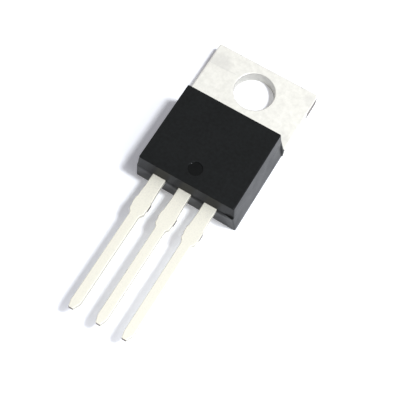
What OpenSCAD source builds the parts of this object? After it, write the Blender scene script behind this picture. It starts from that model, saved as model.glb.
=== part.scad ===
// Voltage regulator in a flat plastic package with a screw-down metal tab and three leads.
// It lies on its metal back. Sizes are in millimetres and angles in degrees.
// The origin is the centre of the mounting hole on the back face of the tab. +Y runs from
// the leads to the free end of the tab and +Z points out of the moulding's front face.

/* [Tab] */
// Width of the tab
tab_w = 10.3; // [10.2:0.05:10.6]
// Thickness of the tab and of the pad that carries the chip
tab_t = 1.27; // [1.1:0.01:1.4]
// From the centre of the hole to the free end of the tab
tab_end = 2.75; // [2.5:0.05:3.4]
// Diameter of the mounting hole
hole_d = 3.8; // [3.2:0.05:3.9]
// Radius of the tab's free corners
tab_corner = 0.2; // [0.1:0.05:0.8]
// How far the tab's full width reaches in behind the foot of the moulding's end
tab_in = 0.04; // [0.02:0.01:0.08]
// How much narrower the tab is on each side from there on
neck_in = 0.2; // [0.16:0.02:0.3]

/* [Chip pad] */
// How far each side of the pad is set in from the tab's side
pad_inset = 0.85; // [0.6:0.05:1.2]
// From the pad's lead-side edge to the moulding's lead end, which leaves room for the bend
pad_front = 2.78; // [2.2:0.02:3]
// How far the pad's rim overhangs the plastic under it
rim_w = 0.3; // [0.2:0.05:0.5]
// Thickness of that rim
rim_t = 0.8; // [0.6:0.05:0.9]
// Depth of the locking grooves across the pad
groove_d = 0.18; // [0.1:0.02:0.25]
// From the moulding's tab-side end to the first groove
groove_in = 0.55; // [0.5:0.05:0.7]
// Distance between the two grooves
groove_pitch = 0.5; // [0.4:0.05:0.55]

/* [Moulding] */
// How far each side of the tab stands out past the moulding's back edge
tab_proud = 0.07; // [0.02:0.01:0.15]
// Length of the front face along the leads
face_l = 8.18; // [7.5:0.02:9]
// From the centre of the hole to the front face
hole_to_face = 4.14; // [3.9:0.02:4.2]
// Total thickness
body_t = 4.51; // [4.3:0.01:4.9]
// Draft of the two long sides
side_draft = 5.4; // [4.8:0.2:6]
// Draft of the end that the tab leaves
tab_draft = 6; // [2:0.5:10]
// Thickness of the web that closes each corner there, out to the tab's edge
web_t = 0.1; // [0.08:0.02:0.2]
// Draft of the lead end above the parting line
front_draft = 4; // [2:0.5:7]
// Draft of the lead end below the parting line
back_draft = 7; // [2:0.5:10]
// How far the lower half of the lead end stands out at the parting line
mould_step = 0.1; // [0.02:0.02:0.2]
// How far the lower half of the mould was turned against the upper one
mould_turn = 0.6; // [0:0.1:1.2]
// Diameter of the ejector pin's mark in the front face
mark_d = 1.3; // [0.8:0.1:1.8]
// Depth of that mark
mark_depth = 0.1; // [0.04:0.02:0.2]
// From the front face's lead-side edge to the centre of the mark
mark_in = 1.53; // [1:0.01:2]

/* [Leads] */
// Distance between neighbouring leads
pitch = 2.54; // [2.5:0.01:2.6]
// Thickness of the lead sheet
lead_t = 0.5; // [0.45:0.01:0.6]
// Height of the leads' undersides over the back face
lead_z = 2.44; // [2.3:0.02:2.6]
// Length of a lead outside the moulding
lead_l = 13.5; // [11:0.1:16]
// Width of a lead where it leaves the moulding
root_w = 1.25; // [1.15:0.01:1.3]
// Width of a lead at its shoulder
shoulder_w = 1.36; // [1.32:0.01:1.45]
// From the moulding to where a lead starts to widen
widen_at = 0.95; // [0.6:0.05:1.4]
// From the stubs to the start of the shoulder
shoulder_in = 0.47; // [0.2:0.01:1]
// Width of the narrow stretch
narrow_w = 0.88; // [0.7:0.02:1]
// Width across the cut-off tie-bar stubs
stub_w = 1.52; // [1.48:0.01:1.6]
// Length of a stub along the lead
stub_l = 0.68; // [0.4:0.02:0.8]
// From the moulding to the start of the stubs
stub_at = 2.4; // [2:0.05:2.6]
// Width of the cut end of a lead
tip_w = 0.42; // [0.3:0.02:0.6]
// Length of the pointed tip
tip_l = 0.62; // [0.3:0.02:1]

/* [Inner ends of the leads] */
// From the middle of an outer lead to the inner side of the landing for its bond wires
landing_inner = 0.87; // [0.7:0.01:1]
// Plastic between the landing and the moulding's side, at the parting line
landing_wall = 0.83; // [0.6:0.01:1]
// Length of the landing along the lead
landing_l = 1.4; // [1.2:0.05:1.5]
// Plastic between the landing and the moulding's lead end
landing_front = 0.93; // [0.7:0.01:1.1]
// Diameter of the anchor hole that the plastic fills
anchor_d = 0.6; // [0.4:0.05:0.65]
// From the landing's outer corner to the middle of that hole, each way
anchor_in = 0.5; // [0.44:0.02:0.52]
// Steepest slope of the centre lead's bend up from the pad
bend_angle = 62; // [55:1:70]
// Radius of the bend, at the middle of the sheet
bend_r = 0.45; // [0.4:0.01:0.5]

/* [Chip and wires] */
// Width of the chip
chip_w = 3.2; // [3:0.1:3.5]
// Length of the chip
chip_l = 2.8; // [2.6:0.1:2.9]
// Thickness of the chip
chip_t = 0.28; // [0.2:0.02:0.38]
// From the pad's lead-side edge to the chip
chip_in = 1.45; // [1.4:0.01:1.6]
// Thickness of the solder under the chip
solder_t = 0.06; // [0.03:0.01:0.1]
// How far the solder shows round the chip
solder_rim = 0.15; // [0.05:0.05:0.2]
// Diameter of the heavy wires of the input and the output
heavy_d = 0.3; // [0.2:0.01:0.34]
// Diameter of the thin wire of the ground lead
thin_d = 0.18; // [0.12:0.01:0.24]
// Distance between the two wires of a pair
pair_pitch = 0.6; // [0.56:0.02:0.62]
// From the chip's lead-side edge to the feet of the long wires
long_in = 1.25; // [1.2:0.05:1.4]
// From each long side of the chip to the nearest foot
side_in = 0.4; // [0.36:0.02:0.42]
// From the chip's lead-side edge to the feet of the short wires
short_in = 0.5; // [0.45:0.01:0.55]
// How far the pair of short wires lies to the left of the chip's middle
short_left = 0.25; // [0.2:0.02:0.3]
// From the pad's lead-side edge to the lower feet of the short wires
pad_in = 0.72; // [0.6:0.02:0.85]
// From the landing's chip-side edge to the feet on it
landing_in = 0.63; // [0.6:0.01:0.66]
// From the landing's inner side to the nearest foot of the input wires
landing_side_in = 0.45; // [0.4:0.01:0.5]
// Height of a long wire's bow over the line between its two ends
long_bow = 0.85; // [0.7:0.05:1]
// Height of a short wire's bow over the line between its two ends
short_bow = 0.48; // [0.42:0.02:0.55]

/* [Hidden] */
$fn = 48;

tin = [0.93, 0.92, 0.87];
solder_grey = [0.62, 0.63, 0.66];
silicon = [0.36, 0.38, 0.44];
aluminium = [0.83, 0.84, 0.86];
epoxy = [0.16, 0.17, 0.17];

// Heights: the mould closes on the top face of the leads.
parting_z = lead_z + lead_t;
lead_mid_z = lead_z + lead_t / 2;
chip_z = tab_t + solder_t;
chip_top = chip_z + chip_t;

// The moulding's ends, as distances from the hole's centre towards the leads
face_end = hole_to_face + face_l;
upper_end = face_end + (body_t - parting_z) * tan(front_draft);
lead_end = upper_end + mould_step;
back_end = lead_end - parting_z * tan(back_draft);
foot = hole_to_face - body_t * tan(tab_draft);
pad_start = hole_to_face - (body_t - tab_t) * tan(tab_draft);
tab_start = foot + tab_in;
back_w = tab_w - 2 * tab_proud;
face_w = back_w - 2 * body_t * tan(side_draft);
parting_w = back_w - 2 * parting_z * tan(side_draft);
mark_y = mark_in - face_end;

// The pad inside the moulding
pad_w = tab_w - 2 * pad_inset;
pad_end = lead_end - pad_front;

// The centre lead rises from the top of the pad to the plane of the outer leads.
rise = lead_mid_z - (tab_t - lead_t / 2);
slope_l = (rise - 2 * bend_r * (1 - cos(bend_angle))) / sin(bend_angle);
bend_run = 2 * bend_r * sin(bend_angle) + slope_l * cos(bend_angle);
strap_l = 0.1;
bend_steps = 6;

// The landing of the right lead, and the anchor hole in its outer corner
landing_x0 = pitch - landing_inner;
landing_x1 = parting_w / 2 - landing_wall;
landing_y0 = landing_front - lead_end;
landing_y1 = landing_y0 + landing_l;
anchor_x = landing_x1 - anchor_in;
anchor_y = landing_y0 + anchor_in;

// The chip, and the line on the landings that the wires' feet lie on
chip_y0 = chip_in - pad_end;
feet_y = landing_y1 - landing_in;

// Distances from the moulding to a lead's shoulder and to the narrow stretch
shoulder_at = stub_at + stub_l + shoulder_in;
narrow_at = shoulder_at + (shoulder_w - narrow_w) / 2;

// A wire's foot, as shares of the wire's diameter
foot_high = 0.5;
foot_wide = 1.3;
foot_long = 2.6;

// Far enough to cut right through any piece here
reach = 2 * (tab_end + lead_end + lead_l);
// Room that a cut takes past a face, so that it leaves no skin
past = 0.5;
// How far the face of the corner webs lies behind the moulding's end
web_in = 0.02;

// A rectangle whose corners at +Y are rounded
module round_ended(w, y0, y1, r) {
    translate([-w / 2, y0]) square([w, y1 - r - y0]);
    translate([-w / 2 + r, y0]) square([w - 2 * r, y1 - y0]);
    for (side = [-1, 1]) translate([side * (w / 2 - r), y1 - r]) circle(r);
}

// Tab and chip pad, cut from the thick strip
module tab_plate() {
    difference() {
        linear_extrude(tab_t) {
            round_ended(tab_w, -tab_start, tab_end, tab_corner);
            translate([neck_in - tab_w / 2, -pad_start]) square([tab_w - 2 * neck_in, pad_start]);
            translate([-pad_w / 2, -pad_end]) square([pad_w, pad_end]);
        }
        translate([0, 0, -past]) cylinder(h = tab_t + 2 * past, d = hole_d);
        // the underside of the pad is stepped, so that the plastic holds it by its rim
        for (side = [-1, 1])
            translate([side * pad_w / 2 - rim_w, -pad_start, -past]) mirror([0, 1, 0])
                cube([2 * rim_w, pad_end, tab_t - rim_t + past]);
        translate([-pad_w / 2, -pad_end - past, -past])
            cube([pad_w, rim_w + past, tab_t - rim_t + past]);
        // two coined grooves across the top keep damp from creeping along the metal
        for (i = [0, 1])
            translate([0, -pad_start - groove_in - i * groove_pitch, tab_t])
                rotate([45, 0, 0])
                    cube([reach, groove_d * sqrt(2), groove_d * sqrt(2)], center = true);
    }
}

// Side view of the bent strap: the sheet's middle line with half a thickness on each side.
// d is the distance from the pad's edge and h the height over the sheet's first level.
function bend_path() = concat(
    [[-strap_l, 0, 0]],
    [for (i = [0 : bend_steps]) let (a = bend_angle * i / bend_steps)
        [strap_l + bend_r * sin(a), bend_r * (1 - cos(a)), a]],
    [for (i = [bend_steps : -1 : 0]) let (a = bend_angle * i / bend_steps)
        [strap_l + bend_run - bend_r * sin(a), rise - bend_r * (1 - cos(a)), a]],
    [[2 * strap_l + bend_run, rise, 0]]);

function beside(p, off) = [p[0] - off * sin(p[2]), p[1] + off * cos(p[2])];

module centre_strap() {
    path = bend_path();
    last = len(path) - 1;
    outline = concat(
        [for (p = path) beside(p, lead_t / 2)],
        [for (i = [last : -1 : 0]) beside(path[i], -lead_t / 2)]);
    translate([root_w / 2, -pad_end, tab_t - lead_t / 2])
        rotate([90, 0, -90])
            linear_extrude(root_w) polygon(outline);
}

// One side of a lead's outline, as half widths at distances from the moulding
function lead_side() = [
    [root_w / 2, 0],
    [root_w / 2, widen_at],
    [shoulder_w / 2, stub_at],
    [stub_w / 2, stub_at],
    [stub_w / 2, stub_at + stub_l],
    [shoulder_w / 2, stub_at + stub_l],
    [shoulder_w / 2, shoulder_at],
    [narrow_w / 2, narrow_at],
    [narrow_w / 2, lead_l - tip_l],
    [tip_w / 2, lead_l]];

// A lead from the point inside the moulding where it starts to its tip, without its inner end
module lead_strip(start) {
    side = lead_side();
    last = len(side) - 1;
    translate([0, 0, lead_z]) linear_extrude(lead_t) {
        polygon(concat(
            [for (p = side) [p[0], -lead_end - p[1]]],
            [for (i = [last : -1 : 0]) [-side[i][0], -lead_end - side[i][1]]]));
        translate([-root_w / 2, -lead_end - past]) square([root_w, lead_end + past - start]);
    }
}

// An outer lead with its landing; side is -1 for the left lead and 1 for the right one
module outer_lead(side) {
    difference() {
        union() {
            translate([side * pitch, 0, 0]) lead_strip(-landing_y0 - landing_l / 2);
            translate([0, 0, lead_z]) linear_extrude(lead_t) mirror([side < 0 ? 1 : 0, 0])
                translate([landing_x0, landing_y0]) square([landing_x1 - landing_x0, landing_l]);
        }
        translate([side * anchor_x, anchor_y, lead_z - past])
            cylinder(h = lead_t + 2 * past, d = anchor_d);
    }
}

// A bond wire from a to b, each [x, y, z] on the face it is bonded to. Each end is pressed flat
// into a foot, and between the feet the wire bows up as one arc, which is cut off level with
// the top of each foot.
module bond_wire(a, b, d, bow) {
    foot_h = d * foot_high;
    foot_l = d * foot_long;
    run = norm([b[0] - a[0], b[1] - a[1]]);
    heading = atan2(b[1] - a[1], b[0] - a[0]);
    climb = b[2] - a[2];
    chord = norm([run, climb]);
    tilt = atan2(climb, run);
    r = chord * chord / (8 * bow) + bow / 2;
    half = asin(chord / 2 / r) + atan(d / r);
    translate(a) rotate([0, 0, heading]) {
        difference() {
            translate([run / 2 + (r - bow) * sin(tilt), 0,
                       climb / 2 + foot_h / 2 - (r - bow) * cos(tilt)])
                rotate([90, 0, 0]) rotate([0, 0, 90 + tilt - half])
                    rotate_extrude(angle = 2 * half, $fn = 96) translate([r, 0]) circle(d = d, $fn = 24);
            for (end = [[0, 0], [run, climb]])
                translate([end[0] - foot_l, -d, end[1] + foot_h - 3 * d])
                    cube([2 * foot_l, 2 * d, 3 * d]);
        }
        for (end = [[0, 0], [run, climb]])
            translate([end[0] - foot_l / 2, -d * foot_wide / 2, end[1]])
                cube([foot_l, d * foot_wide, foot_h]);
    }
}

// At the tab end the plastic reaches out to the tab's edges in a thin web, which leans as that
// end does and fills the room up to the tab's full width. It runs into the drafted sides at the
// parting line, and is drawn past that line, inside the moulding.
module corner_webs() {
    top_z = parting_z + past;
    top_w = parting_w - past * (tab_w - parting_w) / (parting_z - tab_t);
    top_lean = top_z * tan(tab_draft);
    intersection() {
        rotate([90, 0, 0]) linear_extrude(reach, center = true) polygon([
            [-tab_w / 2, 0], [tab_w / 2, 0], [tab_w / 2, tab_t],
            [top_w / 2, top_z], [-top_w / 2, top_z], [-tab_w / 2, tab_t]]);
        rotate([90, 0, 90]) linear_extrude(reach, center = true) polygon([
            [-foot - web_t, 0], [-tab_start, 0], [-tab_start, tab_t], [-pad_start - web_in, tab_t],
            [-foot - web_in - top_lean, top_z], [-foot - web_t - top_lean, top_z]]);
    }
}

// The drafted block, before anything is let into it. The front view gives the two long sides
// and the side view the two ends. Below the parting line the lead end is a plane of its own,
// which is turned a little against the rest.
module drafted_block() {
    difference() {
        intersection() {
            rotate([90, 0, 0]) linear_extrude(reach, center = true) polygon([
                [-back_w / 2, 0], [back_w / 2, 0], [face_w / 2, body_t], [-face_w / 2, body_t]]);
            rotate([90, 0, 90]) linear_extrude(reach, center = true) polygon([
                [-foot, 0], [-hole_to_face, body_t], [-face_end, body_t],
                [-upper_end, parting_z], [-lead_end - past, parting_z], [-lead_end - past, 0]]);
        }
        translate([0, -lead_end, parting_z]) rotate([0, 0, -mould_turn]) rotate([back_draft, 0, 0])
            translate([-reach / 2, -reach, -reach / 2]) cube(reach);
    }
}

module tab_with_centre_lead() {
    color(tin) {
        tab_plate();
        centre_strap();
        lead_strip(pad_end + bend_run + strap_l);
    }
}

module ground_lead() {
    color(tin) outer_lead(-1);
}

module input_lead() {
    color(tin) outer_lead(1);
}

module chip_solder() {
    color(solder_grey)
        translate([-chip_w / 2 - solder_rim, chip_y0 - solder_rim, tab_t])
            cube([chip_w + 2 * solder_rim, chip_l + 2 * solder_rim, solder_t]);
}

module chip() {
    color(silicon)
        translate([-chip_w / 2, chip_y0, chip_z]) cube([chip_w, chip_l, chip_t]);
}

module ground_wire() {
    color(aluminium)
        bond_wire([side_in - chip_w / 2, chip_y0 + long_in, chip_top],
                  [-(landing_x0 + landing_x1) / 2, feet_y, parting_z], thin_d, long_bow);
}

// Two input wires run side by side; i is 0 for the inner one and 1 for the outer one
module input_wire(i) {
    start_x = chip_w / 2 - side_in - (1 - i) * pair_pitch;
    end_x = landing_x0 + landing_side_in + i * pair_pitch;
    color(aluminium)
        bond_wire([start_x, chip_y0 + long_in, chip_top],
                  [end_x, feet_y, parting_z], heavy_d, long_bow);
}

// Two output wires go straight down to the pad in front of the chip
module output_wire(i) {
    x = (i - 0.5) * pair_pitch - short_left;
    color(aluminium)
        bond_wire([x, chip_y0 + short_in, chip_top],
                  [x, pad_in - pad_end, tab_t], heavy_d, short_bow);
}

module moulding() {
    color(epoxy) difference() {
        union() {
            drafted_block();
            corner_webs();
        }
        translate([0, mark_y, body_t - mark_depth]) cylinder(h = mark_depth + past, d = mark_d);
        tab_with_centre_lead();
        ground_lead();
        input_lead();
        chip_solder();
        chip();
        ground_wire();
        for (i = [0, 1]) {
            input_wire(i);
            output_wire(i);
        }
    }
}

tab_with_centre_lead();
ground_lead();
input_lead();
chip_solder();
chip();
ground_wire();
input_wire(0);  // input_wire_1
input_wire(1);  // input_wire_2
output_wire(0);  // output_wire_1
output_wire(1);  // output_wire_2
moulding();
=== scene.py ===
"""Voltage regulator in a flat moulded package with a screw-down tab, lying on its metal back."""
import math
import bmesh
import bpy
import numpy as np
from mathutils import Matrix, Vector


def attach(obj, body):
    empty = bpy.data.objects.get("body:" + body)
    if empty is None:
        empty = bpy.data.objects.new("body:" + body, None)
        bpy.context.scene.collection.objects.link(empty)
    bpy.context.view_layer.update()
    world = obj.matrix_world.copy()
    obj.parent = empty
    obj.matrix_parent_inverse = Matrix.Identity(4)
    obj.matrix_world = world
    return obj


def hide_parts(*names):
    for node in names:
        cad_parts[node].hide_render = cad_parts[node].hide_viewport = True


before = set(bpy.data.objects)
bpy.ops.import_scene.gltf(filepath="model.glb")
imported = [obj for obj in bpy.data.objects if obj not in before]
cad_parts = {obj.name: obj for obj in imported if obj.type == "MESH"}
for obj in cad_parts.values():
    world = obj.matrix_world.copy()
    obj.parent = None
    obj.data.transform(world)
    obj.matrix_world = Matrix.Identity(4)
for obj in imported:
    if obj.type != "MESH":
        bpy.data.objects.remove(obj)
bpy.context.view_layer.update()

# Camera: it looks down on the part from the lead side with a long lens, turned and rolled so
# that the tab points to the upper right of a square picture. Every size here is in millimetres.
MM = 0.001
CAMERA_AT = Vector((15.603, -43.419, 83.324)) * MM
CAMERA_AIM = Vector((1.017, -11.345, 0.116)) * MM
CAMERA_ROLL = math.radians(6.67)
CAMERA_LENS = 92.62
camera = bpy.data.objects.new("camera", bpy.data.cameras.new("camera"))
camera.data.lens = CAMERA_LENS
camera.data.sensor_width = 36.0
camera.data.clip_start = 1 * MM
look = (CAMERA_AIM - CAMERA_AT).to_track_quat("-Z", "Y").to_matrix()
rolled = look @ Matrix.Rotation(CAMERA_ROLL, 3, "Z")
camera.matrix_world = Matrix.Translation(CAMERA_AT) @ rolled.to_4x4()
bpy.context.scene.collection.objects.link(camera)
bpy.context.scene.camera = camera

# Stamped frame: the thick tab and chip pad with the thin centre lead, one piece of copper strip.
# The punch leaves a rolled edge on the front and a sharp one on the back. The strip is plated
# with matte tin, and the bars that tied the leads together are cut off after that.
TAB_W = 10.3
TAB_T = 1.27
TAB_END = 2.75
HOLE_R = 1.9
# Inside the moulding: where the tab's full width ends, the narrower neck, and the pad, whose rim
# overhangs what is under it
TAB_START = -3.706
NECK_IN = 0.2
NECK_Y = -3.80
PAD_W = 8.6
PAD_END = -9.75
RIM_W = 0.3
RIM_Z = 0.47
# How much smaller the plate is below the rim's level, so that the step there has a width all round
LEDGE = 0.001
# Corner radii from the pad's end to the tab's, and those of the rolled edges
PLATE_RADII = [0.1, 0.1, 0.08, 0.005, 0.08, 0.2]
ROLL_FRONT = 0.075
ROLL_BACK = 0.02
# Locking grooves across the pad, where the plastic holds on
GROOVE_Y = (-4.35, -4.85)
GROOVE_D = 0.18
# Longest stretch between two points of a side, and the rings across the flat faces, as shares of
# the way from the hole to the edge
SPACING = 0.25
FLAT_SHARES = np.array([0.02, 0.1, 0.25, 0.45, 0.65, 0.82, 0.93, 0.985])


def rounded_outline(corners, radii, counts, steps=5):
    """Points round a polygon and their outward normals. Each corner becomes an arc that touches
    both sides: its tangent length is r * tan(turn / 2). Between two arcs the side is divided
    evenly into its count of stretches."""
    corners = np.asarray(corners, float)
    ahead = np.roll(corners, -1, axis=0) - corners
    ahead /= np.linalg.norm(ahead, axis=1, keepdims=True)
    points, normals = [], []
    for i, r in enumerate(radii):
        into, out = ahead[i - 1], ahead[i]
        turn = math.atan2(into[0] * out[1] - into[1] * out[0], into @ out)
        bend = math.copysign(r, turn)
        start = corners[i] - into * r * math.tan(abs(turn) / 2)
        centre = start + bend * np.array([-into[1], into[0]])
        angle = math.atan2(-into[0], into[1]) + np.linspace(0, turn, steps + 1)
        normal = np.stack([np.cos(angle), np.sin(angle)], 1)
        points.append(centre + bend * normal)
        normals.append(normal)
    closed = []
    for i, count in enumerate(counts):
        a, b = points[i][-1], points[(i + 1) % len(points)][0]
        share = np.arange(1, count)[:, None] / count
        side_normal = np.repeat(normals[i][-1:], count - 1, axis=0)
        closed.append(np.hstack([points[i], normals[i]]))
        closed.append(np.hstack([a + (b - a) * share, side_normal]))
    closed = np.vstack(closed)
    return closed[:, :2], closed[:, 2:]


def side_counts(corners, spacing):
    """How many stretches each side of a polygon is divided into, none longer than spacing."""
    corners = np.asarray(corners, float)
    lengths = np.linalg.norm(np.roll(corners, -1, axis=0) - corners, axis=1)
    return np.maximum(1, np.ceil(lengths / spacing)).astype(int)


def surface(name, points, closed_rows=False):
    """Mesh of a grid of points in millimetres, rows by columns. Each four neighbours make a quad,
    the columns close on themselves, and the rows close too or end in one flat face each."""
    rows, columns = points.shape[:2]
    index = np.arange(rows * columns).reshape(rows, columns)
    here = index if closed_rows else index[:-1]
    above = np.roll(index, -1, axis=0) if closed_rows else index[1:]
    quads = np.stack([here, np.roll(here, -1, 1), np.roll(above, -1, 1), above], -1)
    faces = quads.reshape(-1, 4).tolist()
    if not closed_rows:
        faces += [index[0][::-1].tolist(), index[-1].tolist()]
    mesh = bpy.data.meshes.new(name)
    mesh.from_pydata((points.reshape(-1, 3) * MM).tolist(), [], faces)
    mesh.shade_smooth()
    piece = bpy.data.objects.new(name, mesh)
    bpy.context.scene.collection.objects.link(piece)
    return piece


def roll(radius, steps=5):
    """Quarter circle of a rolled edge: how far in and how far down from the two faces it joins,
    from the side face to the flat one: in = r (1 - cos a), down = r (1 - sin a)."""
    angle = np.linspace(0, math.pi / 2, steps + 1)
    return radius * (1 - np.cos(angle)), radius * (1 - np.sin(angle))


def combine(piece, other, operation):
    """Replaces the piece's mesh by its exact union with, or difference from, the other one, and
    deletes the other."""
    step = piece.modifiers.new("combine", "BOOLEAN")
    step.operation = operation
    step.solver = "EXACT"
    step.object = other
    bpy.context.view_layer.update()
    depsgraph = bpy.context.evaluated_depsgraph_get()
    result = bpy.data.meshes.new_from_object(piece.evaluated_get(depsgraph))
    piece.modifiers.clear()
    piece.data = result
    bpy.data.objects.remove(other)


def prism(name, ring, left, right):
    """Closed block with flat faces. Its section is a ring of points in Y and Z, anticlockwise
    seen from +X, and it runs along X from left to right, each one value or one for each point."""
    ring = np.asarray(ring, float)
    ends = [np.column_stack([np.broadcast_to(x, len(ring)), ring]) for x in (left, right)]
    piece = surface(name, np.stack(ends))
    piece.data.shade_flat()
    return piece


def plate_corners(half_pad, pad_end):
    """Corners of the tab and pad seen from the front, the right way round for a surface. The tab
    keeps its full width as far as the moulding, where a narrower neck joins it to the pad."""
    half = TAB_W / 2
    right = [(half_pad, pad_end), (half_pad, NECK_Y), (half - NECK_IN, NECK_Y),
             (half - NECK_IN, TAB_START), (half, TAB_START), (half, TAB_END)]
    return right + [(-x, y) for x, y in right[::-1]]


def tab_plate(name):
    """Tab and pad as one closed surface: rings run out over the back, up the edge with its step
    under the pad's rim, in over the front and down the hole. A ring between the hole and the
    edge is a share of the way along the line from one to the other. All that lies under the rim
    stands back by a hair, so that the step between the two has a width everywhere."""
    below = plate_corners(PAD_W / 2 - RIM_W, PAD_END + RIM_W)
    above = plate_corners(PAD_W / 2, PAD_END)
    radii = PLATE_RADII + PLATE_RADII[::-1]
    counts = side_counts(above, SPACING)
    low, low_normal = rounded_outline(below, radii, counts)
    low = low - low_normal * LEDGE
    high, high_normal = rounded_outline(above, radii, counts)

    def ring(points, normals, inset, z):
        return np.column_stack([points - normals * inset, np.full(len(points), z)])

    def hole(points, radius, z):
        angle = np.arctan2(points[:, 1], points[:, 0])
        return np.column_stack([radius * np.cos(angle), radius * np.sin(angle), np.full(len(points), z)])

    inset_back, up_back = roll(ROLL_BACK, 3)
    inset_front, down_front = roll(ROLL_FRONT, 6)
    back_hole = hole(low, HOLE_R + ROLL_BACK, 0)
    back_edge = ring(low, low_normal, ROLL_BACK, 0)
    rings = [back_hole]
    rings += [back_hole + (back_edge - back_hole) * t for t in FLAT_SHARES]
    rings += [ring(low, low_normal, i, u) for i, u in zip(inset_back[::-1], up_back[::-1])]
    rings += [ring(low, low_normal, 0, z) for z in (0.16, 0.32, RIM_Z)]
    rings += [ring(high, high_normal, 0, z) for z in (RIM_Z, 0.7, 0.95)]
    rings += [ring(high, high_normal, i, TAB_T - d) for i, d in zip(inset_front, down_front)]
    front_hole = hole(high, HOLE_R + ROLL_FRONT, TAB_T)
    front_edge = ring(high, high_normal, ROLL_FRONT, TAB_T)
    rings += [front_edge + (front_hole - front_edge) * t for t in 1 - FLAT_SHARES[::-1]]
    rings += [hole(high, HOLE_R + i, TAB_T - d) for i, d in zip(inset_front[::-1], down_front[::-1])]
    rings += [hole(high, HOLE_R, z) for z in (0.9, 0.5, 0.2)]
    rings += [hole(low, HOLE_R + i, u) for i, u in zip(inset_back, up_back)][:-1]
    return surface(name, np.stack(rings), closed_rows=True)


# Leads: thickness, level of the back, middle level, where they leave the moulding, their tips,
# the pitch of the row, and half the width of a lead at the moulding
LEAD_T = 0.5
LEAD_Z = 2.44
LEAD_MID = LEAD_Z + LEAD_T / 2
LEAD_OUT = -12.53
LEAD_TIP = -26.03
PITCH = 2.54
ROOT_HALF = 0.625
# Where the pointed end begins, measured from the moulding, and its length
POINT_AT = 12.8
POINT_L = 0.7
# Distances from the moulding, and the lead's half width there: root, tie-bar stub, narrow
# stretch and point
LEAD_SIDE = np.array([
    (0.0, ROOT_HALF), (0.95, ROOT_HALF), (2.40, 0.69), (2.43, 0.76), (3.05, 0.76), (3.08, 0.695),
    (3.55, 0.69), (3.62, 0.66), (3.72, 0.575), (3.80, 0.50), (3.92, 0.46), (4.15, 0.44),
    (POINT_AT, 0.44), (12.90, 0.425), (13.44, 0.235), (13.48, 0.21), (POINT_AT + POINT_L, 0.19)])
# A lead's rolled corners, the flat beside them, and how far the centre tip leans to the left
LEAD_ROLL = 0.05
LEAD_FLAT = 0.02
CENTRE_LEAN = 0.03
# Bend from the pad up to the leads' level
BEND_ANGLE = math.radians(62)
BEND_R = 0.45
STRAP_L = 0.1


def strip(name, y, z, slope, left, right, x=0.0):
    """Sheet-metal strip along a path in the plane of X and Z. At each station the section is a
    rectangle from left to right of x, LEAD_T thick, square to the path, with rolled corners: a
    corner point is the arc's centre plus r (cos a, sin a). One more point on the flat at each
    end of an arc, LEAD_FLAT further on, keeps the flats shaded flat."""
    quarter = np.array([0, 0, 0.25, 0.5, 0.75, 1, 1]) * math.pi / 2
    angle = np.concatenate([quarter + k * math.pi / 2 for k in range(4)])
    along = np.tile([-LEAD_FLAT, 0, 0, 0, 0, 0, LEAD_FLAT], 4)
    across = np.repeat([1, -1, -1, 1], 7)
    over = np.repeat([1, 1, -1, -1], 7)
    r = np.where(over > 0, LEAD_ROLL, LEAD_ROLL / 3)
    edge = np.where(across > 0, right[:, None], -left[:, None])
    side = edge - across * r + r * np.cos(angle) - along * np.sin(angle)
    rise = over * (LEAD_T / 2 - r) + r * np.sin(angle) + along * np.cos(angle)
    points = np.stack([x + side,
                       y[:, None] + rise * np.sin(slope)[:, None],
                       z[:, None] + rise * np.cos(slope)[:, None]], -1)
    return surface(name, points)


def outside_stations():
    """Y and half width of a lead outside the moulding, at its corners and every SPACING between."""
    distance = np.unique(np.round(np.concatenate([
        LEAD_SIDE[:, 0], np.arange(0, LEAD_SIDE[-1, 0], SPACING)]), 4))
    return LEAD_OUT - distance, np.interp(distance, LEAD_SIDE[:, 0], LEAD_SIDE[:, 1])


def tip_shift(y, lean):
    """How far a lead's pointed end leans to the left: nothing up to its taper, then evenly."""
    return lean * np.clip((LEAD_OUT - POINT_AT - y) / POINT_L, 0, 1)


def bent_strap():
    """Y, Z and slope of the strap from the pad up to the leads: a short start, an arc of BEND_R
    through BEND_ANGLE, a straight slope that makes up the rise, and the same arc the other way.
    On an arc, ahead = r sin a and up = r (1 - cos a)."""
    rise = LEAD_MID - (TAB_T - LEAD_T / 2)
    slope_l = (rise - 2 * BEND_R * (1 - math.cos(BEND_ANGLE))) / math.sin(BEND_ANGLE)
    run = 2 * BEND_R * math.sin(BEND_ANGLE) + slope_l * math.cos(BEND_ANGLE)
    turn = np.linspace(0, BEND_ANGLE, 9)
    ahead = BEND_R * np.sin(turn)
    up = BEND_R * (1 - np.cos(turn))
    y = PAD_END - np.concatenate([[-STRAP_L], STRAP_L + ahead, STRAP_L + run - ahead[::-1]])
    z = TAB_T - LEAD_T / 2 + np.concatenate([[0], up, rise - up[::-1]])
    return y, z, np.concatenate([[0], turn, turn[::-1]])


strap_y, strap_z, strap_slope = bent_strap()
strap_half = np.full(len(strap_y), ROOT_HALF)
lead_y, lead_half = outside_stations()
centre_shift = tip_shift(lead_y, CENTRE_LEAN)
centre_lead = strip(
    "centre_lead", np.concatenate([strap_y, lead_y]),
    np.concatenate([strap_z, np.full(len(lead_y), LEAD_MID)]),
    np.concatenate([strap_slope, np.zeros(len(lead_y))]),
    np.concatenate([strap_half, lead_half + centre_shift]),
    np.concatenate([strap_half, lead_half - centre_shift]))
stamped_frame = tab_plate("stamped_frame")
for groove_y in GROOVE_Y:
    diamond = [(groove_y - GROOVE_D, TAB_T), (groove_y, TAB_T - GROOVE_D),
               (groove_y + GROOVE_D, TAB_T), (groove_y, TAB_T + GROOVE_D)]
    combine(stamped_frame, prism("groove", diamond, -TAB_W, TAB_W), "DIFFERENCE")
combine(stamped_frame, centre_lead, "UNION")


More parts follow.
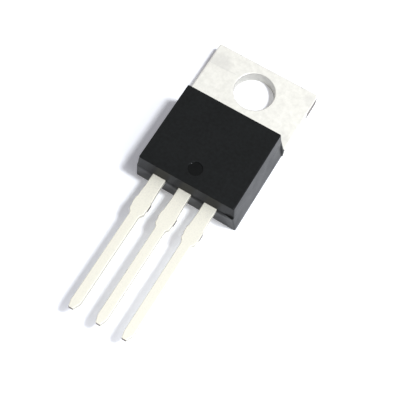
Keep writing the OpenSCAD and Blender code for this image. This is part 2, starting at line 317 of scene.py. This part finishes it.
def colour(hex_code):
    """Linear colour of an sRGB hex value: c / 12.92 up to 0.04045, ((c + 0.055) / 1.055) ** 2.4
    above it."""
    c = np.array([int(hex_code[i:i + 2], 16) for i in (1, 3, 5)]) / 255
    return (*np.where(c <= 0.04045, c / 12.92, ((c + 0.055) / 1.055) ** 2.4), 1.0)


def add(tree, kind, inputs=None, **settings):
    """Adds a node with its settings, and gives each named input its value or its link."""
    node = tree.nodes.new(kind)
    for name, value in settings.items():
        setattr(node, name, value)
    for name, value in (inputs or {}).items():
        if isinstance(value, bpy.types.NodeSocket):
            tree.links.new(value, node.inputs[name])
        else:
            node.inputs[name].default_value = value
    return node


def material(name):
    """New node material, its tree, its main shader and the object's own coordinates."""
    made = bpy.data.materials.new(name)
    made.use_nodes = True
    tree = made.node_tree
    place = add(tree, "ShaderNodeTexCoord").outputs["Object"]
    return made, tree, tree.nodes["Principled BSDF"], place


# Matte tin: warm white, with a soft mottle from the plating bath, a fine crystal grain that
# breaks up its shine, and a greyer speckle on the leads, strongest beside the plastic. The grain
# is really far finer, and is drawn as coarse as it needs to show.
TIN_MOTTLE = 0.6
TIN_GRAIN = 0.11
# Where the leads begin, where their speckle grows, how dull the punched wall of the hole is, and
# how strongly the hole's wall, the handling marks and the painted shade on the left edge show
LEADS_FROM = -12.0
SPECKLED_Y = (-15.6, -12.4)
HOLE_DULLED = 1.6
MARK_AND_SHADE_STRENGTH = 0.3
# Handling marks and painted shade on the tab: place of the middle, half sizes across and along,
# turn in degrees, darkness, and whether only the half beyond the middle shows. A smudge that ends
# at a scratched line, a fainter one in the other corner, a grey band of painted shade along the
# rolled left edge, where it would reflect darker surroundings, and nicks on the end edge.
TAB_MARKS_AND_EDGE_SHADE = ((-4.10, 0.57, 1.35, 1.75, 3.7, 1.0, True), (-3.18, 0.60, 1.45, 0.08, 3.7, 0.7, False),
             (4.75, 1.85, 0.85, 0.75, 0.0, 0.6, False), (-5.12, 0.0, 0.17, 3.4, 0.0, 1.1, False),
             (4.3, -2.7, 0.9, 0.8, 0.0, 0.5, False), (-2.93, 2.70, 0.14, 0.09, 0.0, 2.0, False),
             (-1.10, 2.66, 0.14, 0.08, 0.0, 1.8, False), (3.49, 2.66, 0.16, 0.08, 0.0, 2.2, False))


def matte_tin():
    made, tree, shader, place = material("matte_tin_plating")
    mottle = add(tree, "ShaderNodeTexNoise", {
        "Vector": place, "Scale": 1 / (TIN_MOTTLE * MM), "Detail": 5.0, "Roughness": 0.7})
    grain = add(tree, "ShaderNodeTexNoise", {
        "Vector": place, "Scale": 1 / (TIN_GRAIN * MM), "Detail": 2.0})
    y = add(tree, "ShaderNodeSeparateXYZ", {"Vector": place}).outputs["Y"]
    # The grey speckle is stronger towards the moulding, weaker towards the tips
    near_root = add(tree, "ShaderNodeMapRange", {
        "Value": y, "From Min": SPECKLED_Y[0] * MM, "From Max": SPECKLED_Y[1] * MM,
        "To Min": 0.13, "To Max": 0.25})
    on_lead = add(tree, "ShaderNodeMath", {0: y, 1: LEADS_FROM * MM}, operation="LESS_THAN")
    rootward_speckle = add(tree, "ShaderNodeMath", {0: near_root.outputs[0], 1: on_lead.outputs[0]},
                operation="MULTIPLY")
    patchy = add(tree, "ShaderNodeMapRange", {
        "Value": mottle.outputs[0], "From Min": 0.35, "From Max": 0.65})
    tone = add(tree, "ShaderNodeMix", {
        "Factor": patchy.outputs[0], 6: colour("#DCDAD2"), 7: colour("#CFCDC5")}, data_type="RGBA")
    warm = add(tree, "ShaderNodeMix", {
        "Factor": on_lead.outputs[0], 6: tone.outputs[2], 7: colour("#D2CFC2")}, data_type="RGBA")
    speckle = add(tree, "ShaderNodeMapRange", {
        "Value": grain.outputs[0], "From Min": 0.44, "From Max": 0.68})
    share = add(tree, "ShaderNodeMath", {0: rootward_speckle.outputs[0], 1: speckle.outputs[0]},
                operation="MULTIPLY")
    greyed = add(tree, "ShaderNodeMix", {
        "Factor": share.outputs[0], 6: warm.outputs[2], 7: colour("#9F9E9C")}, data_type="RGBA")
    marks = 0.0
    # Each entry greys the tin; the band along the rolled left edge is painted shade, the rest are marks
    for x, y, across, along, turned, dark, beyond in TAB_MARKS_AND_EDGE_SHADE:
        near = add(tree, "ShaderNodeMapping", {
            "Vector": place, "Location": (x * MM, y * MM, 0), "Rotation": (0, 0, math.radians(turned)),
            "Scale": (across * MM, along * MM, 1)}, vector_type="TEXTURE")
        away = add(tree, "ShaderNodeVectorMath", {0: near.outputs[0]}, operation="LENGTH")
        mark = add(tree, "ShaderNodeMapRange", {
            "Value": away.outputs["Value"], "From Min": 0.55, "From Max": 1.0,
            "To Min": dark, "To Max": 0.0})
        if beyond:
            local = add(tree, "ShaderNodeSeparateXYZ", {"Vector": near.outputs[0]})
            half = add(tree, "ShaderNodeMath", {0: local.outputs["Y"], 1: 0.0},
                       operation="GREATER_THAN")
            mark = add(tree, "ShaderNodeMath", {0: mark.outputs[0], 1: half.outputs[0]},
                       operation="MULTIPLY")
        total = add(tree, "ShaderNodeMath", {0: mark.outputs[0], 1: marks}, operation="ADD")
        marks = total.outputs[0]
    flat = add(tree, "ShaderNodeVectorMath", {0: place, 1: (1, 1, 0)}, operation="MULTIPLY")
    from_axis = add(tree, "ShaderNodeVectorMath", {0: flat.outputs[0]}, operation="LENGTH")
    punched = add(tree, "ShaderNodeMapRange", {
        "Value": from_axis.outputs["Value"], "From Min": HOLE_R * MM,
        "From Max": (HOLE_R + ROLL_FRONT) * MM, "To Min": HOLE_DULLED, "To Max": 0.0})
    wear_and_shade = add(tree, "ShaderNodeMath", {0: punched.outputs[0], 1: marks}, operation="ADD")
    wear_and_shade_share = add(tree, "ShaderNodeMath", {0: wear_and_shade.outputs[0], 1: MARK_AND_SHADE_STRENGTH},
                 operation="MULTIPLY")
    marked = add(tree, "ShaderNodeMix", {
        "Factor": wear_and_shade_share.outputs[0], 6: greyed.outputs[2], 7: colour("#ADABA7")}, data_type="RGBA")
    tree.links.new(marked.outputs[2], shader.inputs["Base Color"])
    rough = add(tree, "ShaderNodeMapRange", {
        "Value": mottle.outputs[0], "To Min": 0.48, "To Max": 0.66})
    tree.links.new(rough.outputs[0], shader.inputs["Roughness"])
    relief = add(tree, "ShaderNodeBump", {
        "Height": grain.outputs[0], "Strength": 0.25, "Distance": 0.006 * MM})
    tree.links.new(relief.outputs[0], shader.inputs["Normal"])
    shader.inputs["Metallic"].default_value = 0.8
    return made


# Sheared copper alloy: where a tie bar or a tip was cut after plating, the bare grey-brown metal
# shows, with the fine streaks of the shear, which run through the thickness of the strip.
SHEAR_STREAK = 0.08


def sheared_copper():
    made, tree, shader, place = material("sheared_copper_alloy")
    stretched = add(tree, "ShaderNodeMapping", {"Vector": place, "Scale": (1, 1, 0.2)})
    streak = add(tree, "ShaderNodeTexNoise", {
        "Vector": stretched.outputs[0], "Scale": 1 / (SHEAR_STREAK * MM)})
    tone = add(tree, "ShaderNodeMix", {
        "Factor": streak.outputs[0], 6: colour("#4A423E"), 7: colour("#746860")}, data_type="RGBA")
    tree.links.new(tone.outputs[2], shader.inputs["Base Color"])
    shader.inputs["Metallic"].default_value = 0.9
    shader.inputs["Roughness"].default_value = 0.5
    return made


# Cut faces: how near the tip an end face lies, how far from the lead's middle and from the
# moulding a stub's side lies, and the patch on the tab's side where the next tab was parted off
TIP_CUT = 0.03
STUB_X = 0.72
STUB_FROM = 2.3
TIE_Y = (0.75, 2.55)
TIE_Z = 1.2
# How much of a face's normal must point forwards or sideways. The corners of a tip are cut too.
TIP_FACING = 0.5
SIDE_FACING = 0.8
tin = matte_tin()
sheared = sheared_copper()


def plate_and_shear(piece, middle_x):
    """Gives a stamping its two finishes: a face is sheared if it is on the cut end of a tip, or is
    the side of a stub, further from the lead's middle than the lead beside it is wide, or is the
    place on the tab's side where it was cut off the next tab of the strip."""
    count = len(piece.data.polygons)
    centre = np.empty(count * 3)
    normal = np.empty(count * 3)
    piece.data.polygons.foreach_get("center", centre)
    piece.data.polygons.foreach_get("normal", normal)
    x, y, z = centre.reshape(-1, 3).T / MM
    across, forward, _ = normal.reshape(-1, 3).T
    sideways = np.abs(across) > SIDE_FACING
    tip = (y < LEAD_TIP + TIP_CUT) & (forward < -TIP_FACING)
    stub = sideways & (np.abs(x - middle_x) > STUB_X) & (y < LEAD_OUT - STUB_FROM)
    tab_side = sideways & (np.abs(x) > TAB_W / 2 - ROLL_FRONT)
    parted = tab_side & (y > TIE_Y[0]) & (y < TIE_Y[1]) & (z < TIE_Z)
    piece.data.materials.clear()
    piece.data.materials.append(tin)
    piece.data.materials.append(sheared)
    piece.data.polygons.foreach_set("material_index", (tip | stub | parted).astype(np.int32))


# An edge that turns by more than this is shaded as a sharp one
SHARP_FROM = math.radians(35)
plate_and_shear(stamped_frame, 0.0)
stamped_frame.data.set_sharp_from_angle(angle=SHARP_FROM)
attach(stamped_frame, "root")
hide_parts("tab_with_centre_lead")

# Outer leads: stamped from the thin part of the same strip and cut free of it once the plastic
# holds them. Each widens inside into a landing for its bond wires, with an anchor hole.
LANDING_Y1 = -10.2
LANDING_Y0 = -11.6
# How far it reaches towards the centre lead and away from it, the bevel of its inner end, the
# length of its step down to the lead's own width, and a point on that width
LANDING_IN = 0.87
LANDING_OUT = 1.432
LANDING_BEVEL = 0.03
LANDING_STEP = 0.02
ROOT_Y = -12.1
# Anchor hole: radius, and how far its middle is from the landing's outer corner each way
ANCHOR_R = 0.3
ANCHOR_IN = 0.5
# How far the tip leans to the left
OUTER_LEAN = 0.1


def rod(name, x, y, z0, z1, r, count=32):
    """Upright rod of radius r between two heights, in millimetres: its ring is r (cos a, sin a)."""
    angle = np.linspace(0, 2 * math.pi, count, endpoint=False)
    ring = np.stack([x + r * np.cos(angle), y + r * np.sin(angle)], 1)
    return surface(name, np.stack([np.column_stack([ring, np.full(count, z)]) for z in (z0, z1)]))


def outer_lead(name, side):
    """Outer lead on one side, -1 or 1: the landing's stations, then those outside the moulding,
    and the anchor hole through the landing."""
    inner_y = np.array([LANDING_Y1, LANDING_Y1 - LANDING_BEVEL, LANDING_Y0 + LANDING_STEP,
                        LANDING_Y0, ROOT_Y])
    towards = np.array([LANDING_IN - LANDING_BEVEL, LANDING_IN, LANDING_IN, ROOT_HALF, ROOT_HALF])
    away = np.array([LANDING_OUT - LANDING_BEVEL, LANDING_OUT, LANDING_OUT, ROOT_HALF, ROOT_HALF])
    left, right = (away, towards) if side < 0 else (towards, away)
    y = np.concatenate([inner_y, lead_y])
    shift = tip_shift(lead_y, OUTER_LEAN)
    lead = strip(name, y, np.full(len(y), LEAD_MID), np.zeros(len(y)),
                 np.concatenate([left, lead_half + shift]),
                 np.concatenate([right, lead_half - shift]), side * PITCH)
    anchor = rod("anchor", side * (PITCH + LANDING_OUT - ANCHOR_IN), LANDING_Y0 + ANCHOR_IN,
                 LEAD_Z - LEAD_T, LEAD_Z + 2 * LEAD_T, ANCHOR_R)
    combine(lead, anchor, "DIFFERENCE")
    plate_and_shear(lead, side * PITCH)
    return lead


outer_leads = []
for name, node, side in (("lead_left", "ground_lead", -1), ("lead_right", "input_lead", 1)):
    lead = outer_lead(name, side)
    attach(lead, "root")
    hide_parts(node)
    outer_leads.append(lead)

# Chip, its solder and the bond wires: the silicon chip is soldered to the pad, and wires join it to
# the leads and the pad. Sealed in the plastic, they keep their own solids. The silicon is polished
# and blue grey, the solder dull and the drawn aluminium wire bright.


def plain_metal(name, dark, light, grain_mm, metallic, roughness):
    """Metal or silicon whose colour varies between two tones, in grains of a size."""
    made, tree, shader, place = material(name)
    grain = add(tree, "ShaderNodeTexNoise", {
        "Vector": place, "Scale": 1 / (grain_mm * MM), "Detail": 2.0})
    tone = add(tree, "ShaderNodeMix", {
        "Factor": grain.outputs[0], 6: colour(dark), 7: colour(light)}, data_type="RGBA")
    tree.links.new(tone.outputs[2], shader.inputs["Base Color"])
    shader.inputs["Metallic"].default_value = metallic
    shader.inputs["Roughness"].default_value = roughness
    return made


silicon = plain_metal("polished_silicon", "#4A5160", "#5C6474", 0.8, 0.3, 0.15)
solder = plain_metal("dull_solder", "#8E9094", "#A8AAAC", 0.2, 0.9, 0.5)
aluminium = plain_metal("drawn_aluminium", "#CFD1D4", "#DCDDDF", 0.05, 1.0, 0.3)
INSIDE = {"chip_solder": solder, "chip": silicon, "ground_wire": aluminium,
          "input_wire_1": aluminium, "input_wire_2": aluminium,
          "output_wire_1": aluminium, "output_wire_2": aluminium}
for node, finish in INSIDE.items():
    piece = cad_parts[node]
    piece.data.materials.clear()
    piece.data.materials.append(finish)

# Moulding: black filled epoxy, pressed hot round the frame in a two-part mould that closes on the
# front of the leads. Each side has its draft, the lower half stands out a little at the lead end
# and is turned a touch, and an ejector pin leaves a round dimple in the front.
BODY_T = 4.51
# The back stands a hair above the floor, which only the metal touches. Its rings close on a point.
BACK_Z = 0.003
BACK_MIDDLE = (0, -8.0, BACK_Z)
# Parting line, the place of each side at the back or, at the lead end, the front, and its draft
PARTING_Z = 2.94
BACK_HALF = 5.08
SIDE_DRAFT = math.tan(math.radians(5.4))
TAB_FOOT = -3.666
TAB_DRAFT = math.tan(math.radians(6))
FACE_END = -12.32
FRONT_DRAFT = math.tan(math.radians(4))
BACK_DRAFT = math.tan(math.radians(7))
# Step at the parting line: turn of the lower half's lead end, foot of the upper half there, how
# far the lower half stands out, and the hair by which the upper half stands back all round
MOULD_TURN = math.tan(math.radians(0.6))
UPPER_AT_PARTING = FACE_END - (BODY_T - PARTING_Z) * FRONT_DRAFT
MOULD_STEP = 0.1
UPPER_IN = 0.0006
# Radii of the four upright corners and of the edges round the front and the back
CORNER_R = 0.12
EDGE_FRONT = 0.09
EDGE_BACK = 0.05
# The step at the lead end is sharp near the right corner. Up to there the plastic that was pressed
# out between the leads slopes it off, over a height, down to a share of its depth.
FLASH_END_X = 3.7
FLASH_FADE = 0.8
FLASH_H = 0.3
FLASH_KEPT = 0.1
# Ejector mark: middle, radius, depth, radius of its rim, and how far in from its wall and up from
# its floor the two rings of the corner between them lie
MARK_AT = (0.0, -10.79)
MARK_R = 0.65
MARK_DEPTH = 0.1
MARK_EDGE = 0.03
MARK_FOOT = ((0.005, 0.02), (0.03, 0.0))
MOULDING_COUNTS = side_counts([(BACK_HALF, FACE_END), (BACK_HALF, TAB_FOOT),
                               (-BACK_HALF, TAB_FOOT), (-BACK_HALF, FACE_END)], SPACING)


def moulding_ring(z, inset, upper=True):
    """The moulding's outline at a height: a quadrilateral between its four drafted planes with
    rounded corners, moved in by inset. Each plane leans by its draft: side = half - z tan(draft).
    Below the parting line the lead end is further out and turned. The upper half stands back by a
    hair all round, so that the step between the two has a width everywhere."""
    inset += UPPER_IN * upper
    half = BACK_HALF - z * SIDE_DRAFT - inset
    tab_y = TAB_FOOT - z * TAB_DRAFT - inset
    if upper:
        lead, slope = FACE_END - (BODY_T - z) * FRONT_DRAFT, 0.0
    else:
        lead, slope = UPPER_AT_PARTING - MOULD_STEP + (PARTING_Z - z) * BACK_DRAFT, MOULD_TURN
    lead += inset
    corners = [(half, lead - slope * half), (half, tab_y),
               (-half, tab_y), (-half, lead + slope * half)]
    points, _ = rounded_outline(corners, [CORNER_R] * 4, MOULDING_COUNTS, steps=6)
    return np.column_stack([points, np.full(len(points), z)])


def circle_ring(points, centre, radius, z):
    """A circle whose points lie in the directions of an outer ring's points from its centre."""
    angle = np.arctan2(points[:, 1] - centre[1], points[:, 0] - centre[0])
    return np.column_stack([centre[0] + radius * np.cos(angle), centre[1] + radius * np.sin(angle),
                            np.full(len(points), z)])


def parting_rings():
    """Rings of the lower half just under the parting line. The topmost lies between the lower
    half's outline and the upper half's foot: it goes over to the foot by 1 - FLASH_KEPT along
    the lead end, fading out over FLASH_FADE from FLASH_END_X and over the corners' arcs."""
    foot = moulding_ring(PARTING_Z, 0)
    sloped = np.clip(1 - (foot[:, :1] - FLASH_END_X) / FLASH_FADE, 0, 1)
    sloped *= np.clip(1 - (foot[:, 1:2] - UPPER_AT_PARTING) / CORNER_R, 0, 1)
    lip = moulding_ring(PARTING_Z, 0, upper=False)
    lip += (foot - lip) * (1 - FLASH_KEPT) * sloped
    under = moulding_ring(PARTING_Z - FLASH_H, 0, upper=False)
    return [under + (lip - under) * t for t in (0, 0.5, 0.97, 1)]


def moulded_block(name):
    """The moulding before the metal is let in: rings run out over the back, up the sides, over
    the step at the parting line, in over the front, and down the wall of the ejector mark."""
    inset_back, up_back = roll(EDGE_BACK, 4)
    inset_front, down_front = roll(EDGE_FRONT, 6)
    inset_mark, down_mark = roll(MARK_EDGE, 4)
    back = moulding_ring(BACK_Z, EDGE_BACK, upper=False)
    rings = [BACK_MIDDLE + (back - BACK_MIDDLE) * t for t in (0.3, 0.6, 0.85, 0.97)]
    rings += [moulding_ring(BACK_Z + u, i, upper=False)
              for i, u in zip(inset_back[::-1], up_back[::-1])]
    rings += [moulding_ring(z, 0, upper=False) for z in (0.5, 1.0, 1.5, 2.0, 2.4)]
    rings += parting_rings()
    upper_z = (PARTING_Z, PARTING_Z + 0.01, 3.4, 3.9, BODY_T - 1.3 * EDGE_FRONT)
    rings += [moulding_ring(z, 0) for z in upper_z]
    rings += [moulding_ring(BODY_T - d, i) for i, d in zip(inset_front, down_front)]
    front = rings[-1]
    mark = circle_ring(front, MARK_AT, MARK_R + MARK_EDGE, BODY_T)
    floor_z = BODY_T - MARK_DEPTH
    rings += [front + (mark - front) * t for t in (0.01, 0.08, 0.2, 0.4, 0.6, 0.8, 0.92, 0.98)]
    rings += [circle_ring(front, MARK_AT, MARK_R + i, BODY_T - d)
              for i, d in zip(inset_mark[::-1], down_mark[::-1])]
    rings += [circle_ring(front, MARK_AT, MARK_R - i, floor_z + u) for i, u in MARK_FOOT]
    rings += [circle_ring(front, MARK_AT, MARK_R * t, floor_z) for t in (0.9, 0.6, 0.3)]
    return surface(name, np.stack(rings))


moulding = moulded_block("moulded_body")

# Thin webs at the two corners of the tab end: they fill the step behind the tab's full width and
# lean back with the end face to a point above the parting line.
WEB_T = 0.1
WEB_IN = 0.02
WEB_ROOT = 4.6
WEB_TOP_X = 4.70
# Levels of its foot, of the knee just under the tab's front, and of its top
WEB_FOOT_Z = 0.006
WEB_KNEE_Z = TAB_T - 0.01
WEB_TOP_Z = 3.44
# How far a web runs on into the tab's rounded inner corner
WEB_LAP = 0.016


def tab_end_y(z):
    """Place of the moulding's leaning end face beside the tab at a height."""
    return TAB_FOOT - z * TAB_DRAFT


knee_back = (tab_end_y(WEB_KNEE_Z) - WEB_T, WEB_KNEE_Z)
lower_web = [(tab_end_y(0) - WEB_T, WEB_FOOT_Z), (TAB_START + WEB_LAP, WEB_FOOT_Z),
             (TAB_START + WEB_LAP, WEB_KNEE_Z), knee_back]
upper_web = [knee_back, (tab_end_y(WEB_KNEE_Z) - WEB_IN, WEB_KNEE_Z),
             (tab_end_y(WEB_TOP_Z) - WEB_IN, WEB_TOP_Z), (tab_end_y(WEB_TOP_Z) - WEB_T, WEB_TOP_Z)]
lower_edge = np.full(4, TAB_W / 2)
upper_edge = np.array([TAB_W / 2, TAB_W / 2, WEB_TOP_X, WEB_TOP_X])
for ring, edge in ((lower_web, lower_edge), (upper_web, upper_edge)):
    combine(moulding, prism("web", ring, WEB_ROOT, edge), "UNION")
    combine(moulding, prism("web", ring, -edge, -WEB_ROOT), "UNION")

# The plastic's seats for the metal, the chip and the wires: each is their own shape, grown by
# SEAT_GAP, so that pieces that touch share one hollow with no skin between them
SEAT_GAP = 0.001


def cutter_from(source):
    """Copy of a piece to cut with, its doubles merged, because a solid of the frame is loose
    triangles. Each point moves out along its normal by SEAT_GAP."""
    shape = bmesh.new()
    shape.from_mesh(source.data)
    bmesh.ops.remove_doubles(shape, verts=shape.verts, dist=0.0005 * MM)
    mesh = bpy.data.meshes.new("cutter")
    shape.to_mesh(mesh)
    shape.free()
    place = np.empty(len(mesh.vertices) * 3)
    outward = np.empty(len(mesh.vertices) * 3)
    mesh.vertices.foreach_get("co", place)
    mesh.vertex_normals.foreach_get("vector", outward)
    mesh.vertices.foreach_set("co", place + outward * SEAT_GAP * MM)
    cutter = bpy.data.objects.new("cutter", mesh)
    bpy.context.scene.collection.objects.link(cutter)
    return cutter


for source in [stamped_frame, *outer_leads, *(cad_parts[node] for node in INSIDE)]:
    combine(moulding, cutter_from(source), "DIFFERENCE")

# Epoxy compound: near black and faintly cool. Its grains of filler show as a fine mottle, drawn
# coarser than they are, and it has the matte texture of an eroded mould. Where the ejector pin
# pressed it, it is smoother and darker.
EPOXY_CLOUD = 2.2
EPOXY_GRIT = 0.13
EPOXY_FILLER = 0.28


def black_epoxy(name, dark, light, grit_depth, roughness, ior):
    """Moulding compound: filler between two tones, clouds in its gloss, and grit of a depth."""
    made, tree, shader, place = material(name)
    cloud = add(tree, "ShaderNodeTexNoise", {
        "Vector": place, "Scale": 1 / (EPOXY_CLOUD * MM), "Detail": 3.0})
    grit = add(tree, "ShaderNodeTexNoise", {
        "Vector": place, "Scale": 1 / (EPOXY_GRIT * MM), "Detail": 3.0})
    filler = add(tree, "ShaderNodeTexNoise", {
        "Vector": place, "Scale": 1 / (EPOXY_FILLER * MM), "Detail": 3.0})
    grains = add(tree, "ShaderNodeMapRange", {
        "Value": filler.outputs[0], "From Min": 0.32, "From Max": 0.68})
    tone = add(tree, "ShaderNodeMix", {
        "Factor": grains.outputs[0], 6: colour(dark), 7: colour(light)}, data_type="RGBA")
    tree.links.new(tone.outputs[2], shader.inputs["Base Color"])
    relief = add(tree, "ShaderNodeBump", {
        "Height": grit.outputs[0], "Strength": 0.5, "Distance": grit_depth * MM})
    tree.links.new(relief.outputs[0], shader.inputs["Normal"])
    rough = add(tree, "ShaderNodeMapRange", {
        "Value": cloud.outputs[0], "From Min": 0.3, "From Max": 0.7,
        "To Min": 0.85 * roughness, "To Max": 1.15 * roughness})
    tree.links.new(rough.outputs[0], shader.inputs["Roughness"])
    shader.inputs["IOR"].default_value = ior
    return made


# The pin pressed what lies inside its mark's rim and under the front
centre = np.empty(len(moulding.data.polygons) * 3)
moulding.data.polygons.foreach_get("center", centre)
centre = centre.reshape(-1, 3) / MM
from_mark = np.hypot(centre[:, 0] - MARK_AT[0], centre[:, 1] - MARK_AT[1])
in_mark = from_mark < MARK_R + 0.2 * MARK_EDGE
in_mark &= (centre[:, 2] > BODY_T - 1.5 * MARK_DEPTH) & (centre[:, 2] < BODY_T - 0.2 * MARK_EDGE)
moulding.data.materials.clear()
moulding.data.materials.append(
    black_epoxy("black_epoxy_compound", "#0A0B0B", "#121414", 0.008, 0.36, 1.23))
moulding.data.materials.append(
    black_epoxy("pin_pressed_epoxy", "#060707", "#0A0B0B", 0.002, 0.18, 1.2))
moulding.data.polygons.foreach_set("material_index", in_mark.astype(np.int32))
moulding.data.set_sharp_from_angle(angle=SHARP_FROM)
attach(moulding, "root")
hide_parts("moulding")

# Light table: a plain white floor under soft white surroundings. The floor's own faint glow is
# seen by the camera and by reflections only, so the object's shadow stays.
FLOOR_HALF = 600.0
FLOOR_GLOW = 0.22
FLOOR_CORNERS = ((-1, -1), (1, -1), (1, 1), (-1, 1))
floor_mesh = bpy.data.meshes.new("floor")
floor_mesh.from_pydata([(x * FLOOR_HALF * MM, y * FLOOR_HALF * MM, 0) for x, y in FLOOR_CORNERS],
                       [], [(0, 1, 2, 3)])
floor = bpy.data.objects.new("floor", floor_mesh)
bpy.context.scene.collection.objects.link(floor)
white, tree, shader, place = material("white_floor")
tree.nodes.remove(shader)
path = add(tree, "ShaderNodeLightPath").outputs
seen = add(tree, "ShaderNodeMath", {0: path["Is Camera Ray"], 1: path["Is Glossy Ray"]},
           operation="MAXIMUM")
glow = add(tree, "ShaderNodeMath", {0: seen.outputs[0], 1: FLOOR_GLOW}, operation="MULTIPLY")
sheet = add(tree, "ShaderNodeBsdfDiffuse", {"Color": colour("#FAFAFA")})
light = add(tree, "ShaderNodeEmission", {"Color": colour("#FFFFFF"), "Strength": glow.outputs[0]})
both = add(tree, "ShaderNodeAddShader", {0: sheet.outputs[0], 1: light.outputs[0]})
tree.links.new(both.outputs[0], tree.nodes["Material Output"].inputs["Surface"])
floor_mesh.materials.append(white)

# Surroundings: white to the camera and in reflections, and a dim cool fill for all other light.
WORLD_FILL = 0.21
world = bpy.data.worlds.new("surroundings")
bpy.context.scene.world = world
world.use_nodes = True
tree = world.node_tree
path = add(tree, "ShaderNodeLightPath").outputs
seen = add(tree, "ShaderNodeMath", {0: path["Is Camera Ray"], 1: path["Is Glossy Ray"]},
           operation="MAXIMUM")
seen = add(tree, "ShaderNodeMath", {0: seen.outputs[0], 1: path["Is Transmission Ray"]},
           operation="MAXIMUM")
level = add(tree, "ShaderNodeMapRange", {
    "Value": seen.outputs[0], "To Min": WORLD_FILL, "To Max": 1.0})
tint = add(tree, "ShaderNodeMix", {
    "Factor": seen.outputs[0], 6: colour("#E6E7FF"), 7: colour("#FFFFFF")}, data_type="RGBA")
surround = tree.nodes["Background"]
tree.links.new(tint.outputs[2], surround.inputs["Color"])
tree.links.new(level.outputs[0], surround.inputs["Strength"])

# Lamps: a small softbox high on the right throws short shadows to the left of the body and of
# each lead, and a large one lower on the right fills the leads' shadows but not the body's.
LAMP_DISTANCE = 600.0
LAMP_AIM = Vector((0, -12.0, 0)) * MM
for name, direction, width, energy, tone in (
        ("key", Vector((0.44, 0.03, 1.0)), 90.0, 2.7, "#F5F9FF"),
        ("side_softbox", Vector((1.0, -0.1, 0.95)), 450.0, 2.3, "#F1F6FF")):
    direction.normalize()
    lamp = bpy.data.objects.new(name, bpy.data.lights.new(name, "AREA"))
    lamp.data.shape = "DISK"
    lamp.data.size = width * MM
    lamp.data.energy = energy
    lamp.data.color = colour(tone)[:3]
    turned = direction.to_track_quat("Z", "Y").to_matrix().to_4x4()
    lamp.matrix_world = Matrix.Translation(LAMP_AIM + direction * LAMP_DISTANCE * MM) @ turned
    bpy.context.scene.collection.objects.link(lamp)

bpy.context.scene.view_settings.view_transform = "Standard"
